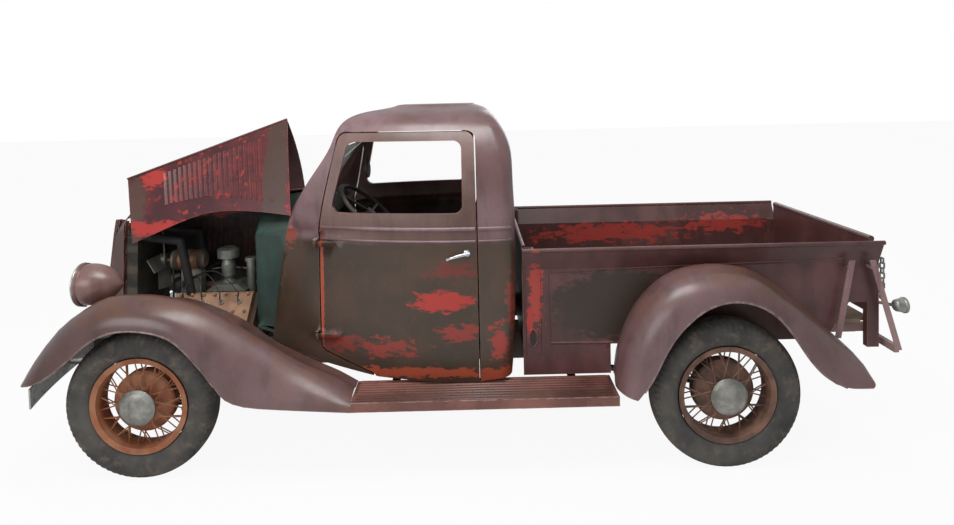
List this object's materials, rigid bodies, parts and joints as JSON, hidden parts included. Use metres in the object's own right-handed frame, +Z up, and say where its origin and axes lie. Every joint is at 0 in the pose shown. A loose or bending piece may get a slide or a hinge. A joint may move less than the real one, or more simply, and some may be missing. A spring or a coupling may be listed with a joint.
{
  "type": "pickup truck",
  "caption": "Worn mid-1930s style pickup truck with wire wheels, swept fenders, open hood panels, hollow cab and open cargo bed",
  "frame": {"origin": "on the ground under the middle of the truck's length and width", "axes": "the truck faces -X, its left side is -Y and +Z is up"},
  "size_m": [4.4101, 1.76, 1.785],
  "materials": {
    "tyre": "matte",
    "rim_front": "matte",
    "rim_rear": "matte",
    "chassis": "matte",
    "body_patina": "satin",
    "door_patina": "satin",
    "hood_red": "satin",
    "cowl_teal": "satin",
    "engine": "matte",
    "heads": "matte",
    "top": "matte",
    "black": "satin",
    "chrome": "polished",
    "glass": "clear",
    "seat": "matte",
    "wood": "matte",
    "bed": "satin",
    "strut": "satin"
  },
  "bodies": {
    "truck": {"front_axle": "chassis", "rear_axle": "chassis", "leaf_springs": "chassis", "frame_rails": "chassis", "steering_column": "chassis", "engine_block": "engine", "engine_heads": "heads", "engine_top": "top", "gearbox": "chassis", "radiator": "chassis", "radiator_shell": "hood_red", "grille": "body_patina", "hood_hinge": "hood_red", "cab_shell": "body_patina", "cab_glass": "glass", "cab_floor": "black", "firewall": "cowl_teal", "dash": "body_patina", "seat_cushion": "seat", "seat_back": "seat", "pedals": "chassis", "front_fender_left": "body_patina", "front_fender_right": "body_patina", "rear_fender_left": "body_patina", "rear_fender_right": "body_patina", "running_board_left": "body_patina", "running_board_right": "body_patina", "headlamps": "body_patina", "headlamp_lenses": "glass", "front_bumper": "chrome", "exhaust": "chassis", "bed_side_left": "bed", "bed_side_right": "bed", "bed_floor": "wood", "bed_front": "bed", "rear_irons": "strut", "tail_lamp": "strut", "tailgate_chains": "strut"},
    "steered_knuckle_left": {"knuckle_left": "chassis"},
    "steered_knuckle_right": {"knuckle_right": "chassis"},
    "front_left_wheel": {"tyre_front_left": "tyre", "wheel_front_left": "rim_front"},
    "front_right_wheel": {"tyre_front_right": "tyre", "wheel_front_right": "rim_front"},
    "rear_left_wheel": {"tyre_rear_left": "tyre", "wheel_rear_left": "rim_rear"},
    "rear_right_wheel": {"tyre_rear_right": "tyre", "wheel_rear_right": "rim_rear"},
    "tie_rod": {"tie_rod": "chassis"},
    "drag_link": {"drag_link": "chassis"},
    "pitman_arm": {"pitman_arm": "chassis"},
    "steering_wheel": {"steering_wheel": "black"},
    "fan": {"fan": "chassis"},
    "left_door": {"door_left": "door_patina"},
    "right_door": {"door_right": "door_patina"},
    "tailgate": {"tailgate": "bed"},
    "left_hood_top": {"hood_top_left": "hood_red"},
    "left_hood_side": {"hood_side_left": "hood_red"},
    "right_hood_top": {"hood_top_right": "hood_red"},
    "right_hood_side": {"hood_side_right": "hood_red"}
  },
  "joints": [
    {"name": "steering", "type": "hinge", "parent": "truck", "child": "steered_knuckle_left", "pos_m": [-1.617, -0.59, 0.362], "axis": [0, 0, 1], "range_deg": [-28, 28]},
    {"name": "steering_right", "type": "hinge", "parent": "truck", "child": "steered_knuckle_right", "pos_m": [-1.617, 0.59, 0.362], "axis": [0, 0, 1], "range_deg": [-28, 28]},
    {"name": "tie_rod_pivot", "type": "hinge", "parent": "steered_knuckle_left", "child": "tie_rod", "pos_m": [-1.467, -0.59, 0.272], "axis": [0, 0, 1], "range_deg": [-28, 28]},
    {"name": "drag_link_pivot", "type": "hinge", "parent": "steered_knuckle_left", "child": "drag_link", "pos_m": [-1.617, -0.41, 0.4556], "axis": [0, 0, 1], "range_deg": [-28, 28]},
    {"name": "pitman_pivot", "type": "hinge", "parent": "truck", "child": "pitman_arm", "pos_m": [-1.187, -0.377, 0.5], "axis": [0, 1, 0], "range_deg": [-34.5, 34.5]},
    {"name": "steering_wheel_spin", "type": "hinge", "parent": "truck", "child": "steering_wheel", "pos_m": [-0.532, -0.34, 1.21], "axis": [0.6771, -0.0538, 0.7339], "range_deg": [-420, 420]},
    {"name": "front_left_spin", "type": "hinge", "parent": "steered_knuckle_left", "child": "front_left_wheel", "pos_m": [-1.617, -0.7, 0.362], "axis": [0, 1, 0], "continuous": true},
    {"name": "front_right_spin", "type": "hinge", "parent": "steered_knuckle_right", "child": "front_right_wheel", "pos_m": [-1.617, 0.7, 0.362], "axis": [0, 1, 0], "continuous": true},
    {"name": "rear_left_spin", "type": "hinge", "parent": "truck", "child": "rear_left_wheel", "pos_m": [1.228, -0.735, 0.362], "axis": [0, 1, 0], "continuous": true},
    {"name": "rear_right_spin", "type": "hinge", "parent": "truck", "child": "rear_right_wheel", "pos_m": [1.228, 0.735, 0.362], "axis": [0, 1, 0], "continuous": true},
    {"name": "fan_spin", "type": "hinge", "parent": "truck", "child": "fan", "pos_m": [-1.822, 0, 0.895], "axis": [1, 0, 0], "continuous": true},
    {"name": "left_door_swing", "type": "hinge", "parent": "truck", "child": "left_door", "pos_m": [-0.79, -0.56397, 0.9], "axis": [0, 0, -1], "range_deg": [0, 65]},
    {"name": "right_door_swing", "type": "hinge", "parent": "truck", "child": "right_door", "pos_m": [-0.79, 0.56397, 0.9], "axis": [0, 0, 1], "range_deg": [0, 65]},
    {"name": "tailgate_drop", "type": "hinge", "parent": "truck", "child": "tailgate", "pos_m": [2.068, 0, 0.671], "axis": [0, 1, 0], "range_deg": [0, 90]},
    {"name": "left_hood_lift", "type": "hinge", "parent": "truck", "child": "left_hood_top", "pos_m": [-1.957, 0, 1.215], "axis": [0.9963, 0, 0.0854], "range_deg": [0, 88]},
    {"name": "left_hood_fold", "type": "hinge", "parent": "left_hood_top", "child": "left_hood_side", "pos_m": [-1.97893, -0.08594, 1.39088], "axis": [0.9431, -0.0767, 0.3235], "range_deg": [-68, 0]},
    {"name": "right_hood_lift", "type": "hinge", "parent": "truck", "child": "right_hood_top", "pos_m": [-1.957, 0, 1.215], "axis": [0.9963, 0, 0.0854], "range_deg": [0, 88]},
    {"name": "right_hood_fold", "type": "hinge", "parent": "right_hood_top", "child": "right_hood_side", "pos_m": [-1.957, 0.18, 1.135], "axis": [0.9696, 0.2443, 0.0147], "range_deg": [-68, 0]}
  ],
  "couplings": [
    {"joint": "steering_right", "follows": "steering", "ratio": 1},
    {"joint": "tie_rod_pivot", "follows": "steering", "ratio": -1},
    {"joint": "drag_link_pivot", "follows": "steering", "ratio": -1},
    {"joint": "pitman_pivot", "follows": "steering", "ratio": 1.2246},
    {"joint": "steering_wheel_spin", "follows": "steering", "ratio": 15},
    {"joint": "left_hood_fold", "follows": "left_hood_lift", "ratio": -0.77273},
    {"joint": "right_hood_fold", "follows": "right_hood_lift", "ratio": -0.77273}
  ]
}
